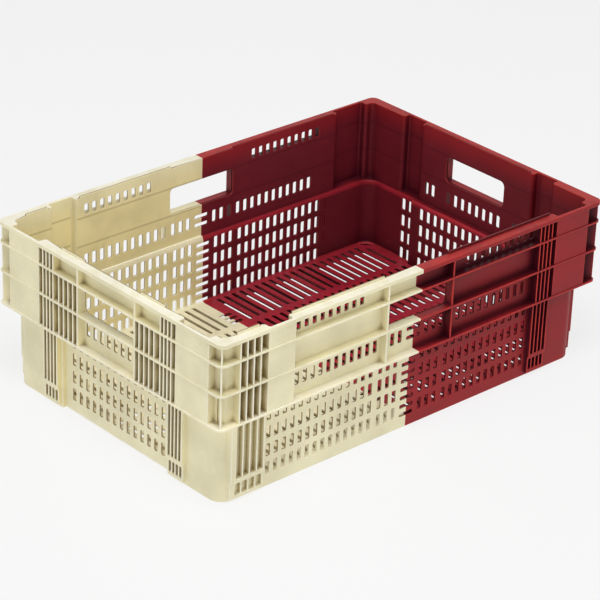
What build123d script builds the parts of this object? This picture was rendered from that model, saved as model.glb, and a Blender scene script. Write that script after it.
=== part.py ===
from build123d import *
import math
import os

# A two-colour stack-and-nest crate, moulded as a cream half and a red half that meet at x = 0.
# X runs along the crate, Y across it and Z up; the origin is under the middle of the base.
# Along a side, a station is counted from the middle and a depth from the outer edge of the rim.
# Each zone of the moulding is drawn on the front side (-Y) and mirrored to the rear.

# Overall size
length = 600.0
width = 400.0
wall = 2.5
rib = 2.0

# Heights of the storeys, from the base up to the rim
tub_height = 103.0
waist_height = 44.5
hold_height = 34.5
rim_band_height = 28.0
rim_height = 5.0
flange = 2.5

# Depths of the walls behind the outer edge
panel_depth = 1.0
recess = 11.0
pad_depth = 9.0
tub_inset = 15.5
end_inset = 20.0

# Corner radii
flange_radius = 9.0
wall_radius = 8.5
tub_radius = 18.0
fin_inset = 4.0

# Zones of the upper long walls, as widths counted inwards from the corner
cream_corner = 28.0
cream_ribs = 41.0
cream_panel = 39.0
red_corner = 23.0
red_panel = 55.0
red_ribs = 28.0
rib_slots = 4

# Zones of the upper end walls, as widths counted inwards from the corner
end_corner = 22.0
cream_end_panel = 56.0
cream_end_ribs = 27.0
red_end_ribs = 47.0
red_end_panel = 37.0
wide_slots = 5

# Hand-holes
hold = 100.0
hold_corner = 5.0
cheek = 2.5

# Stacking pads on the tub
cream_pad = 48.5
red_pad = 28.0
red_pad_gap = 39.5
cream_end_pad = 26.5
cream_end_pad_gap = 40.5
red_end_pad = 43.0
pad_plain = 7.5
pad_step = 2.0
pad_foot = 4.0
pad_bar_low = 24.0
pad_bar = 6.0
end_cheek = 69.5

# Slots of the tub walls
slot = 8.0
slot_height = 15.5
slot_pitch = 17.6
row_pitch = 24.0
row_count = 4
seam_column = 21.0
seam_columns = 2
field_column = 60.0
field_edge = 4.5

# Slots that cross the colour seam
cross_reach = 11.0
cross_slot = 6.0
cross_low = 13.0
cross_count = 6

# Slots of the waist and windows of the rim band
waist_slot_low = 15.5
waist_slot_height = 16.0
window = 8.0
window_height = 10.5
window_low = 7.5
window_count = 7
window_pitch = 16.0
window_edge = 9.0

# Floor
floor_top = 15.0
floor_plate = 2.5
floor_slot = 8.0
floor_slot_length = 71.0
floor_row_gap = 10.0
floor_edge = 5.0
floor_column = 21.0
floor_pitch = 26.0
gate_column = 5.5
gate_columns = 2
gate_length = 36.0
floor_rib = 2.5

# Lips on the rim
lip = 2.0
lip_height = 2.5
lip_gap = 3.0

# Levels, depths and limits that follow from the sizes above
waist_low = tub_height + flange
hold_low = tub_height + waist_height
rim_low = hold_low + hold_height
rim_top = rim_low + rim_band_height
recess_inner = recess + wall
panel_inner = panel_depth + wall
tub_inner = tub_inset + wall
end_inner = end_inset + wall
half_length = length / 2
half_width = width / 2
half_hold = hold / 2
end_limit = half_width - end_corner
tub_limit = half_length - tub_inset - tub_radius
tub_end_limit = half_width - tub_inset - tub_radius
end_field = tub_end_limit - end_cheek
row_heights = [tub_height - slot_height / 2 - k * row_pitch for k in range(row_count)]
cross_pitch = (tub_height - 2 * cross_low - cross_slot) / (cross_count - 1)
storeys = [(hold_low - flange, flange), (rim_low, flange), (rim_top - rim_height, rim_height)]

# The cream half lies at -X; its panels stand inside its rib blocks on the long sides.
cream_corner_start = half_length - cream_corner
cream_ribs_start = cream_corner_start - cream_ribs
cream_panel_start = cream_ribs_start - cream_panel
cream_end_panel_start = end_limit - cream_end_panel
cream_end_ribs_start = cream_end_panel_start - cream_end_ribs
cream_pad_start = tub_limit + pad_plain - cream_pad
cream_end_pad_stop = tub_end_limit - cream_end_pad_gap

# The red half lies at +X; its panels stand outside its ribs on the long sides.
red_corner_start = half_length - red_corner
red_panel_start = red_corner_start - red_panel
red_ribs_start = red_panel_start - red_ribs
red_end_ribs_start = end_limit - red_end_ribs
red_end_panel_start = red_end_ribs_start - red_end_panel
red_pad_start = tub_limit - red_pad_gap - red_pad
red_end_pad_start = tub_end_limit + pad_plain - red_end_pad


def along(end):
    """Places a station and depth of the front side, on the half at this end, in x and y."""
    return lambda station, depth: (end * station, depth - half_width)


def across(end):
    """Places a station and depth of the end wall at this end in x and y, on its front half."""
    return lambda station, depth: (end * (half_length - depth), -station)


def block(place, stations, depths, mode=Mode.ADD):
    """Draws the plan of a straight stretch of wall, rib or flange."""
    x0, y0 = place(stations[0], depths[0])
    x1, y1 = place(stations[1], depths[1])
    with Locations(((x0 + x1) / 2, (y0 + y1) / 2)):
        Rectangle(abs(x1 - x0), abs(y1 - y0), mode=mode)


def outline(inset, radius, mode=Mode.ADD):
    """Draws the crate's rounded plan at one depth behind its edge."""
    RectangleRounded(length - 2 * inset, width - 2 * inset, radius, mode=mode)


def spread(start, stop, slots, first=0, last=0):
    """Stations of the ribs that part a zone into slots, leaving out some at its ends."""
    step = (stop - start - rib) / slots
    return [(start + k * step, start + k * step + rib) for k in range(first, slots + 1 - last)]


def side_plane(end, depth):
    """The upright plane of a front wall: stations along it, heights up."""
    return Plane((0, depth - half_width, 0), x_dir=(end, 0, 0), z_dir=(0, -end, 0))


def end_plane(end, depth):
    """The upright plane of an end wall: stations to the front, heights up."""
    return Plane((end * (half_length - depth), 0, 0), x_dir=(0, -1, 0), z_dir=(-1, 0, 0))


def columns_to(limit):
    """Stations of wall slots: a group beside the colour seam, then a field out to a limit."""
    group = [seam_column + k * slot_pitch for k in range(seam_columns)]
    count = math.floor((limit - field_edge - slot / 2 - field_column) / slot_pitch) + 1
    return group + [field_column + k * slot_pitch for k in range(count)]


def finish(node, label):
    """Names a zone and writes it."""
    node.part.label = label
    export_step(node.part, f"parts/{label}.step")


def finish_pair(node, half, zone):
    """Writes a zone of the front side and its mirror image on the rear side."""
    finish(node, f"{half}_front_{zone}")
    with BuildPart() as twin:
        add(node.part)
        mirror(about=Plane.XZ, mode=Mode.REPLACE)
    finish(twin, f"{half}_rear_{zone}")


def pad_on(place, start, stop, plain=0):
    """Raises a slotted stacking pad on a tub wall, plain towards the corner, set back below its bar."""
    slotted = stop - plain
    back = pad_depth + pad_step
    for low, high, depth in ((pad_bar_low, tub_height, pad_depth), (pad_foot, pad_bar_low, back)):
        with BuildSketch(Plane.XY.offset(low)) as comb:
            for pair in spread(start, slotted, rib_slots):
                block(place, pair, (depth, tub_inset))
            if plain > 0:
                block(place, (slotted - rib, stop), (depth, tub_inner))
        extrude(comb.sketch, amount=high - low)
    for low, thickness, depth in ((pad_foot, wall, back), (pad_bar_low, pad_bar, pad_depth)):
        with BuildSketch(Plane.XY.offset(low)) as bar:
            block(place, (start, slotted), (depth, tub_inset))
        extrude(bar.sketch, amount=thickness)


def floor(half, end):
    """Slotted floor, plain round the gates, with stiffening ribs under it."""
    edge = half_width - tub_inner
    row_step = floor_slot_length + floor_row_gap
    row_mids = [side * (edge - floor_slot_length / 2 - k * row_step) for side in (-1, 1) for k in (0, 1)]
    rib_lines = [side * (edge + floor_row_gap / 2 - k * row_step) for side in (-1, 1) for k in (1, 2)]
    reach = tub_limit - floor_edge - floor_slot / 2
    count = math.floor((reach - floor_column) / floor_pitch) + 1
    stations = [end * (floor_column + k * floor_pitch) for k in range(count)]
    gate = end * (floor_column + gate_column * floor_pitch)
    with BuildPart() as plate:
        with BuildSketch(Plane.XY.offset(floor_top - floor_plate)):
            outline(tub_inner, tub_radius - wall)
            with Locations((end * half_length / 2, 0)):
                Rectangle(half_length, width, mode=Mode.INTERSECT)
            with Locations((end * (half_length - end_inner / 2), 0)):
                Rectangle(end_inner, 2 * (end_field + wall), mode=Mode.SUBTRACT)
            with Locations(*[(x, y) for x in stations for y in row_mids]):
                Rectangle(floor_slot, floor_slot_length, mode=Mode.SUBTRACT)
            with Locations(*[(gate, y) for y in (rib_lines[0], rib_lines[2])]):
                Rectangle(gate_columns * floor_pitch, gate_length)
        extrude(amount=floor_plate)
        with BuildSketch():
            with Locations(*[(end * (half_length - end_inner) / 2, y) for y in rib_lines]):
                Rectangle(half_length - end_inner, floor_rib)
        extrude(amount=floor_top - floor_plate)
    finish(plate, f"{half}_floor")


def tub_wall(half, end, field_stop, stop):
    """Perforated lower wall of a long side, from the colour seam out to a station."""
    crossings = [cross_low + cross_slot / 2 + k * cross_pitch for k in range(cross_count)]
    with BuildPart() as plate:
        with BuildSketch(side_plane(end, tub_inset + wall / 2)):
            with Locations((stop / 2, tub_height / 2)):
                Rectangle(stop, tub_height)
            with Locations(*[(s, z) for s in columns_to(field_stop) for z in row_heights]):
                Rectangle(slot, slot_height, mode=Mode.SUBTRACT)
            with Locations(*[(0, z) for z in crossings]):
                Rectangle(2 * cross_reach, cross_slot, mode=Mode.SUBTRACT)
        extrude(amount=wall / 2, both=True)
    finish_pair(plate, half, "tub_wall")


def tub_end_wall(half, end, stop):
    """Lower end wall: a sunk perforated field between two plain sides."""
    per_side = math.floor((end_field - field_edge - slot / 2 - slot_pitch / 2) / slot_pitch) + 1
    with BuildPart() as plate:
        with BuildSketch(end_plane(end, end_inset + wall / 2)):
            with Locations((0, tub_height / 2)):
                Rectangle(2 * end_field, tub_height)
            with Locations((0, (row_heights[0] + row_heights[-1]) / 2)):
                with GridLocations(slot_pitch, row_pitch, 2 * per_side, row_count):
                    Rectangle(slot, slot_height, mode=Mode.SUBTRACT)
        extrude(amount=wall / 2, both=True)
        with BuildSketch():
            block(across(end), (end_field, stop), (tub_inset, tub_inner))
            block(across(end), (end_field, end_field + wall), (tub_inset, end_inner))
            mirror(about=Plane.XZ)
        extrude(amount=tub_height)
    finish(plate, f"{half}_end_tub_wall")


def tub_corner(half, end, place, start, limit):
    """Rounded corner of the tub, with the wall beside it that carries a stacking pad."""
    with BuildPart() as post:
        with BuildSketch():
            outline(tub_inset, tub_radius)
            outline(tub_inner, tub_radius - wall, mode=Mode.SUBTRACT)
            block(along(end), (tub_limit, half_length), (0, half_width - tub_end_limit), Mode.INTERSECT)
            block(place, (start, limit), (tub_inset, tub_inner))
        extrude(amount=tub_height)
        pad_on(place, start, limit + pad_plain, pad_plain)
    finish_pair(post, half, "tub_corner")


def loose_pad(half, place, start, stop, zone):
    """Stacking pad that stands on a tub wall away from the corners."""
    with BuildPart() as pad:
        pad_on(place, start, stop)
    finish_pair(pad, half, zone)


def shoulders(half, end):
    """Shelf on top of the tub that carries the upper walls: the front, rear and end lengths."""
    with BuildPart() as front:
        with BuildSketch(Plane.XY.offset(tub_height)):
            outline(0, flange_radius)
            outline(tub_inner, tub_radius - wall, mode=Mode.SUBTRACT)
            block(along(end), (0, half_length), (0, end_corner), mode=Mode.INTERSECT)
        extrude(amount=flange)
    finish_pair(front, half, "shoulder")
    with BuildPart() as across_end:
        with BuildSketch(Plane.XY.offset(tub_height)):
            outline(0, flange_radius)
            outline(tub_inner, tub_radius - wall, mode=Mode.SUBTRACT)
            with Locations((end * (half_length - end_inner / 2), 0)):
                Rectangle(end_inner, 2 * (end_field + wall))
            with Locations((end * half_length / 2, 0)):
                Rectangle(half_length, 2 * end_limit, mode=Mode.INTERSECT)
        extrude(amount=flange)
    finish(across_end, f"{half}_end_shoulder")


def recessed_plan(place, inner, panel_start, ribs):
    """Plan of a wall in its recess, from a station out to the fold of its panel, with its ribs."""
    block(place, (inner, panel_start), (recess, recess_inner))
    block(place, (panel_start, panel_start + wall), (panel_depth, recess_inner))
    for pair in ribs:
        block(place, pair, (0, recess))


def waist_band(half, end, panel_start, ribs, field_stop):
    """Slotted storey under a long hand-hole, with the sill flange on top."""
    mid = tub_height + waist_slot_low + waist_slot_height / 2
    stations = [s for s in columns_to(field_stop) if abs(s - half_hold) > slot_pitch / 2 + cheek]
    spacing = waist_slot_height - cross_slot
    crossings = [mid - spacing / 2, mid + spacing / 2]
    with BuildPart() as band:
        with BuildSketch(Plane.XY.offset(waist_low)):
            recessed_plan(along(end), 0, panel_start, ribs)
        extrude(amount=hold_low - flange - waist_low)
        with BuildSketch(Plane.XY.offset(hold_low - flange)):
            block(along(end), (0, panel_start + wall), (0, recess_inner))
        extrude(amount=flange)
        with BuildSketch(side_plane(end, recess + wall / 2)):
            with Locations(*[(s, mid) for s in stations]):
                Rectangle(slot, waist_slot_height)
            with Locations(*[(0, z) for z in crossings]):
                Rectangle(2 * cross_reach, cross_slot)
        extrude(amount=wall, both=True, mode=Mode.SUBTRACT)
    finish_pair(band, half, "waist_band")


def end_waist_band(half, end, panel_start, ribs):
    """Slotted storey under an end hand-hole."""
    mid = tub_height + waist_slot_low + waist_slot_height / 2
    count = 2 * math.floor((half_hold - slot_pitch / 2) / slot_pitch) + 1
    with BuildPart() as band:
        with BuildSketch(Plane.XY.offset(waist_low)):
            recessed_plan(across(end), 0, panel_start, ribs)
            mirror(about=Plane.XZ)
        extrude(amount=hold_low - flange - waist_low)
        with BuildSketch(Plane.XY.offset(hold_low - flange)):
            block(across(end), (-panel_start - wall, panel_start + wall), (0, recess_inner))
        extrude(amount=flange)
        with BuildSketch(end_plane(end, recess + wall / 2)):
            with Locations((0, mid)):
                with GridLocations(slot_pitch, row_pitch, count, 1):
                    Rectangle(slot, waist_slot_height)
        extrude(amount=wall, both=True, mode=Mode.SUBTRACT)
    finish(band, f"{half}_end_waist_band")


def hold_cheek(half, place, face, panel_start, ribs, zone):
    """Storey beside a hand-hole, out to the fold of the panel, with the hole's cut corners."""
    hold_top = hold_low + hold_height
    with BuildPart() as side:
        with BuildSketch(Plane.XY.offset(hold_low)):
            recessed_plan(place, half_hold, panel_start, ribs)
        extrude(amount=hold_height)
        with BuildSketch(face):
            for level, turn in ((hold_low, 1), (hold_top, -1)):
                with BuildLine():
                    Polyline(
                        (half_hold, level),
                        (half_hold - hold_corner, level),
                        (half_hold, level + turn * hold_corner),
                        close=True,
                    )
                make_face()
        extrude(amount=wall / 2, both=True)
    finish_pair(side, half, zone)


def rim_band(half, end, panel_start, ribs, field_stop):
    """Grip over a long hand-hole: flange, windowed wall, rim and the lip on it."""
    place = along(end)
    first = field_stop - window_edge - window / 2
    mid = rim_low + window_low + window_height / 2
    with BuildPart() as band:
        with BuildSketch(Plane.XY.offset(rim_low)):
            recessed_plan(place, 0, panel_start, ribs)
        extrude(amount=rim_band_height)
        for low, thickness in storeys[1:]:
            with BuildSketch(Plane.XY.offset(low)):
                block(place, (0, panel_start + wall), (0, recess_inner))
            extrude(amount=thickness)
        with BuildSketch(Plane.XY.offset(rim_top)):
            block(place, (half_hold, panel_start - lip_gap), (recess_inner - lip, recess_inner))
        extrude(amount=lip_height)
        with BuildSketch(side_plane(end, recess + wall / 2)):
            with Locations(*[(first - k * window_pitch, mid) for k in range(window_count)]):
                Rectangle(window, window_height)
        extrude(amount=wall, both=True, mode=Mode.SUBTRACT)
    finish_pair(band, half, "rim_band")


def end_rim_band(half, end, panel_start, ribs, lip_start, lip_stop):
    """Grip over an end hand-hole, with a lip along each half of it."""
    place = across(end)
    with BuildPart() as band:
        with BuildSketch(Plane.XY.offset(rim_low)):
            recessed_plan(place, 0, panel_start, ribs)
            mirror(about=Plane.XZ)
        extrude(amount=rim_band_height)
        for low, thickness in storeys[1:]:
            with BuildSketch(Plane.XY.offset(low)):
                block(place, (-panel_start - wall, panel_start + wall), (0, recess_inner))
            extrude(amount=thickness)
        with BuildSketch(Plane.XY.offset(rim_top)):
            block(place, (lip_start, lip_stop), (recess_inner - lip, recess_inner))
            mirror(about=Plane.XZ)
        extrude(amount=lip_height)
    finish(band, f"{half}_end_rim_band")


def panel(half, place, start, stop, zone):
    """Panel near the outer edge, in front of the pocket that a nested crate's pad drops into."""
    stations = (start + wall, stop - wall)
    with BuildPart() as sheet:
        with BuildSketch(Plane.XY.offset(waist_low)):
            block(place, stations, (panel_depth, panel_inner))
        extrude(amount=rim_top - waist_low)
        for low, thickness in storeys:
            with BuildSketch(Plane.XY.offset(low)):
                block(place, stations, (0, panel_inner))
            extrude(amount=thickness)
    finish_pair(sheet, half, zone)


def rib_block(half, place, start, stop, ribs, zone):
    """Full-height group of ribs between a panel and the corner, under the stacking rim."""
    with BuildPart() as group:
        with BuildSketch(Plane.XY.offset(waist_low)):
            block(place, (start - wall, start), (panel_depth, recess_inner))
            block(place, (start, stop), (recess, recess_inner))
            for pair in ribs:
                block(place, pair, (0, recess))
        extrude(amount=rim_top - waist_low)
        for low, thickness in storeys:
            with BuildSketch(Plane.XY.offset(low)):
                block(place, (start - wall, stop), (0, recess_inner))
            extrude(amount=thickness)
    finish_pair(group, half, zone)


def corner(half, end, start, end_start, fold_place, fold):
    """Open corner cell: rounded shelves on a folded wall, with one fin out to the corner."""
    side = along(end)
    zone = ((start, half_length), (0, half_width - end_start))
    fin_inner = recess + wall / 2 + (wall_radius - wall / 2) * (1 - math.sqrt(0.5))
    fin_mid = (fin_inset + fin_inner) / 2
    with BuildPart() as cell:
        with BuildSketch(Plane.XY.offset(waist_low)):
            outline(recess, wall_radius)
            outline(recess_inner, wall_radius - wall, mode=Mode.SUBTRACT)
            block(side, *zone, mode=Mode.INTERSECT)
            block(fold_place, (fold, fold + wall), (panel_depth, recess_inner))
            with Locations(side(half_length - fin_mid, fin_mid)):
                Rectangle((fin_inner - fin_inset) * math.sqrt(2), rib, rotation=-45 * end)
        extrude(amount=rim_top - waist_low)
        for low, thickness in storeys:
            with BuildSketch(Plane.XY.offset(low)):
                outline(0, flange_radius)
                outline(recess_inner, wall_radius - wall, mode=Mode.SUBTRACT)
                block(side, *zone, mode=Mode.INTERSECT)
            extrude(amount=thickness)
    finish_pair(cell, half, "corner")


def cream_half():
    """Zones of the cream moulding."""
    half = "cream"
    end = -1
    side = along(end)
    end_wall = across(end)
    side_mid = side_plane(end, recess + wall / 2)
    end_mid = end_plane(end, recess + wall / 2)
    cheek_rib = [(half_hold, half_hold + cheek)]
    narrow = spread(cream_end_ribs_start, cream_end_panel_start, rib_slots, last=1)
    wide = spread(half_hold, cream_end_ribs_start, wide_slots, last=1)
    floor(half, end)
    tub_wall(half, end, cream_pad_start, cream_pad_start)
    tub_corner(half, end, side, cream_pad_start, tub_limit)
    tub_end_wall(half, end, tub_end_limit)
    loose_pad(half, end_wall, cream_end_pad_stop - cream_end_pad, cream_end_pad_stop, "end_pad")
    shoulders(half, end)
    waist_band(half, end, cream_panel_start, cheek_rib, cream_panel_start)
    hold_cheek(half, side, side_mid, cream_panel_start, cheek_rib, "cheek")
    rim_band(half, end, cream_panel_start, cheek_rib, cream_panel_start)
    panel(half, side, cream_panel_start, cream_ribs_start, "panel")
    ribs = spread(cream_ribs_start, cream_corner_start, rib_slots, first=1)
    rib_block(half, side, cream_ribs_start, cream_corner_start, ribs, "rib_block")
    corner(half, end, cream_corner_start, end_limit - wall, end_wall, end_limit - wall)
    end_waist_band(half, end, cream_end_panel_start, wide + narrow)
    hold_cheek(half, end_wall, end_mid, cream_end_panel_start, wide + narrow, "end_cheek")
    lip_stop = cream_end_ribs_start - lip_gap
    end_rim_band(half, end, cream_end_panel_start, cheek_rib + narrow, half_hold, lip_stop)
    panel(half, end_wall, cream_end_panel_start, end_limit, "end_panel")


def red_half():
    """Zones of the red moulding."""
    half = "red"
    end = 1
    side = along(end)
    end_wall = across(end)
    side_mid = side_plane(end, recess + wall / 2)
    end_mid = end_plane(end, recess + wall / 2)
    cheek_rib = [(half_hold, half_hold + cheek)]
    narrow = spread(red_ribs_start, red_panel_start, rib_slots, last=1)
    wide = spread(half_hold, red_end_panel_start, wide_slots, last=1)
    floor(half, end)
    tub_wall(half, end, red_pad_start, tub_limit)
    loose_pad(half, side, red_pad_start, red_pad_start + red_pad, "pad")
    tub_corner(half, end, end_wall, red_end_pad_start, tub_end_limit)
    tub_end_wall(half, end, red_end_pad_start)
    shoulders(half, end)
    waist_band(half, end, red_panel_start, cheek_rib + narrow, red_ribs_start)
    hold_cheek(half, side, side_mid, red_panel_start, cheek_rib + narrow, "cheek")
    rim_band(half, end, red_panel_start, cheek_rib + narrow, red_ribs_start)
    panel(half, side, red_panel_start, red_corner_start, "panel")
    corner(half, end, red_corner_start - wall, end_limit, side, red_corner_start - wall)
    end_waist_band(half, end, red_end_panel_start, wide)
    hold_cheek(half, end_wall, end_mid, red_end_panel_start, wide, "end_cheek")
    end_rim_band(half, end, red_end_panel_start, cheek_rib, 0, red_end_panel_start - lip_gap)
    panel(half, end_wall, red_end_panel_start, red_end_ribs_start, "end_panel")
    ribs = spread(red_end_ribs_start, end_limit, wide_slots, first=1)
    rib_block(half, end_wall, red_end_ribs_start, end_limit, ribs, "end_rib_block")


os.makedirs("parts", exist_ok=True)
cream_half()
red_half()
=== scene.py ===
# %% [markdown]
# A harvest crate moulded in two colours: a cream half and a red half that meet across the middle.
# Turned one way round a crate like this stacks on its rim, and turned the other way it nests, so its
# walls fold in and out. The solids of the frame give the true sizes, one solid for each zone of the two
# mouldings. This lesson raises each moulding again as one skin, with the slots, folds and small radii
# that a real tool has, and then gives the plastic its finish. Lengths are in millimetres, and MM turns
# them into metres.

# %% Load the frame
import math

import bmesh
import bpy
from mathutils import Matrix, Vector


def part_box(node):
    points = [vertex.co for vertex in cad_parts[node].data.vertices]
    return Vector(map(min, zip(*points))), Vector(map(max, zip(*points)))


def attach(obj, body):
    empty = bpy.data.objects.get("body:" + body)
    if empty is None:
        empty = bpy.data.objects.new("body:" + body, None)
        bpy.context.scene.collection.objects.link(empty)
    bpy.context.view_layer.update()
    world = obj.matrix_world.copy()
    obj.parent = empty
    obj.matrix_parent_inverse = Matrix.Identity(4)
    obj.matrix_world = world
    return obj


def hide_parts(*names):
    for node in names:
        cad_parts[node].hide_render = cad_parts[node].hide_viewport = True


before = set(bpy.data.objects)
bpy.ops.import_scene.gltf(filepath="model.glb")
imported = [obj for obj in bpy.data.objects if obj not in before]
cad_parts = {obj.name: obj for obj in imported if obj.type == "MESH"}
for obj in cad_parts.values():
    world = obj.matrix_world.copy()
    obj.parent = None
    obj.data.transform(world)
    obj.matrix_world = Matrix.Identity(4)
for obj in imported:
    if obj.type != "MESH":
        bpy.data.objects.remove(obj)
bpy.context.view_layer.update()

MM = 0.001
print("zones in the frame:", len(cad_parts))

# %% [markdown]
# The sizes are read from the zones that carry them, so a change of the solids carries through. They could
# be typed in again, but then the skin and the solids would soon disagree. The cream half lies at -X and
# the red half at +X, and the crate is the same at its front and its rear.

# %% Sizes read from the frame
def zone_box(zone):
    """Lowest and highest corner of one zone, in millimetres."""
    return [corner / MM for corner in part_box(zone)]


def reach(zone, axis):
    """How near and how far a zone lies from the middle of the crate, along one axis."""
    low, high = zone_box(zone)
    return sorted((abs(low[axis]), abs(high[axis])))


half_length = reach("red_front_corner", 0)[1]
half_width = reach("red_front_corner", 1)[1]
tub_in, tub_out = (half_width - y for y in reach("red_front_tub_wall", 1))
wall = tub_in - tub_out
recess_in = half_width - reach("red_front_waist_band", 1)[0]
recess = recess_in - wall
end_in = half_length - reach("red_end_tub_wall", 0)[0]
pad_out = half_width - reach("red_front_pad", 1)[1]
shoulder_low, waist_low = reach("red_front_shoulder", 2)
sill_top = reach("red_front_waist_band", 2)[1]
grip_low, lip_top = reach("red_front_rim_band", 2)
rim_top = reach("red_front_panel", 2)[1]
floor_top = reach("red_floor", 2)[1]
plate_low = floor_top - wall
print("half sizes", round(half_length, 2), round(half_width, 2), "wall", round(wall, 2))

# %% [markdown]
# The walls of the crate are straight, so a place on one is told by a station along it, a depth behind the
# outer edge of the rim, and a height. Two small functions turn such a place into the corners of a block.
# Rotated objects could do that too, but with plain corners every object can stay at the origin.

# %% Places on the walls
def on_side(end, side, stations, depths, heights):
    """Corners of a block on the long wall of one half, front (-1) or rear (1)."""
    xs = sorted(end * s for s in stations)
    ys = sorted(side * (half_width - d) for d in depths)
    return (xs[0], ys[0], heights[0]), (xs[1], ys[1], heights[1])


def on_end(end, turn, stations, depths, heights):
    """Corners of a block on the end wall of one half, on its front (-1) or rear (1) part."""
    xs = sorted(end * (half_length - d) for d in depths)
    ys = sorted(turn * s for s in stations)
    return (xs[0], ys[0], heights[0]), (xs[1], ys[1], heights[1])


def span(middle, size):
    """The two ends of a stretch about its middle."""
    return middle - size / 2, middle + size / 2


print("a 10 mm block on the red front wall:", on_side(1, -1, span(100, 10), (0, 10), (0, 10)))

# %% [markdown]
# A mould is cut from steel with blocks and cutters, and a mesh can be made the same way. Edit meshes become
# objects at the origin. The cutters of slots widen at both ends, because a real slot has a small chamfer
# there. A bevel after the cut could make it too, but it would have to find thousands of edges.

# %% Objects and countersunk ends
LEAST = 0.01  # a face that is less than this across is flat in that direction


def add_object(name, data):
    """Puts a mesh, lamp or camera into the scene as an object at the origin."""
    thing = bpy.data.objects.new(name, data)
    bpy.context.scene.collection.objects.link(thing)
    return thing


def made(name, bm):
    """Turns an edit mesh into an object."""
    mesh = bpy.data.meshes.new(name)
    bm.to_mesh(mesh)
    bm.free()
    return add_object(name, mesh)


def open_out(bm, caps, grow, rise):
    """Carries flat ends outwards and widens them, as a countersink does."""
    ends = bmesh.ops.extrude_discrete_faces(bm, faces=caps)["faces"]
    for face in ends:
        middle, normal = face.calc_center_median(), face.normal.copy()
        away = [v.co - middle for v in face.verts]
        half = [max(abs(a[axis]) for a in away) for axis in range(3)]
        for vert, a in zip(face.verts, away):
            vert.co += normal * rise * MM
            for axis in range(3):
                if half[axis] > LEAST * MM:
                    vert.co[axis] += a[axis] / half[axis] * grow * MM
    return ends


print("objects are added to", bpy.context.scene.name)

# %% [markdown]
# Each block is a cube that a matrix stretches into place, and a bevel operator rounds the edges that run
# along one axis. The crate's plan is such a block with large radii. Modelling every face by hand would give
# cleaner loops, but hundreds of slots make that slow.

# %% Blocks
LAP = 1.0
ALONG = 0.9  # part of a unit direction that has to lie along an axis
SLOT_SEGMENTS = 3
PLAN_SEGMENTS = 8


def blocks(corners, through=None, radius=0.0, segments=SLOT_SEGMENTS, sink=0.0):
    """Blocks that lie apart from each other, rounded along one axis and countersunk at both ends."""
    bm = bmesh.new()
    for low, high in corners:
        middle = (Vector(low) + Vector(high)) / 2 * MM
        size = (Vector(high) - Vector(low)) * MM
        if sink:
            size[through] -= 2 * (LAP + sink) * MM
        stretch = Matrix.Translation(middle) @ Matrix.Diagonal((*size, 1))
        bmesh.ops.create_cube(bm, size=1, matrix=stretch)
    if through is not None:
        runs = [(e, (e.verts[0].co - e.verts[1].co).normalized()) for e in bm.edges]
        bmesh.ops.bevel(
            bm,
            geom=[edge for edge, run in runs if abs(run[through]) > ALONG],
            offset=radius * MM,
            segments=segments,
            profile=0.5,
            affect="EDGES",
            material=-1,
        )
    if sink:
        bm.normal_update()
        caps = [f for f in bm.faces if abs(f.normal[through]) > ALONG]
        open_out(bm, open_out(bm, caps, sink, sink), 0, LAP)
    return made("blocks", bm)


def each(corners):
    """One object for every block, for blocks that overlap."""
    return [blocks([pair]) for pair in corners]


def plan(inset, radius, heights, taper=0.0):
    """Block with the crate's rounded plan at one depth, whose foot can be drawn in."""
    x, y = half_length - inset, half_width - inset
    corners = (-x, -y, heights[0]), (x, y, heights[1])
    block = blocks([corners], through=2, radius=radius, segments=PLAN_SEGMENTS)
    for vert in block.data.vertices:
        if vert.co.z < (heights[0] + heights[1]) / 2 * MM:
            vert.co.x *= (x - taper) / x
            vert.co.y *= (y - taper) / y
    return block


print("blocks reach", LAP, "mm into what they join or cut")

# %% [markdown]
# A prism is an outline that is extruded upwards, for forms that no block can give. A Boolean modifier then
# joins or cuts with many blocks and prisms at once, because it can take a whole collection. Its manifold
# solver is quick and keeps the result closed, which a printed or weighed part needs as well.

# %% Prisms, and ways to join and cut
def prism(outline, heights):
    """Upright block with any outline."""
    bm = bmesh.new()
    foot = bm.faces.new([bm.verts.new((x * MM, y * MM, heights[0] * MM)) for x, y in outline])
    rise = bmesh.ops.extrude_face_region(bm, geom=[foot])
    top = [v for v in rise["geom"] if isinstance(v, bmesh.types.BMVert)]
    bmesh.ops.translate(bm, vec=(0, 0, (heights[1] - heights[0]) * MM), verts=top)
    bmesh.ops.recalc_face_normals(bm, faces=bm.faces)
    return made("prism", bm)


def combine(target, tools, operation):
    """Joins or cuts a target with several closed meshes, which are used up."""
    group = bpy.data.collections.new("tools")
    bpy.context.scene.collection.children.link(group)
    for tool in tools:
        bpy.context.scene.collection.objects.unlink(tool)
        group.objects.link(tool)
    step = target.modifiers.new("combine", "BOOLEAN")
    step.operation = operation
    step.solver = "MANIFOLD"
    step.operand_type = "COLLECTION"
    step.collection = group
    result = bpy.data.meshes.new_from_object(target.evaluated_get(bpy.context.evaluated_depsgraph_get()))
    target.modifiers.clear()
    target.data = result
    for tool in tools:
        bpy.data.objects.remove(tool)
    bpy.data.collections.remove(group)


print("forms can be joined and cut by prisms and blocks")

# %% [markdown]
# The upper wall folds in and out. Where a panel stands out there is a pocket behind it, and beside the
# panels ribs stiffen the recessed wall. On the cream half they stand between panel and corner, on the red
# half on the panel's other side, and on the end walls it is the other way round, so that pads meet pockets
# when a crate is turned. The stations of the pockets come from the frame. The ribs could be measured one by
# one in the photograph, but spread by a count they have even gaps, as a designer would make them.

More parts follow.
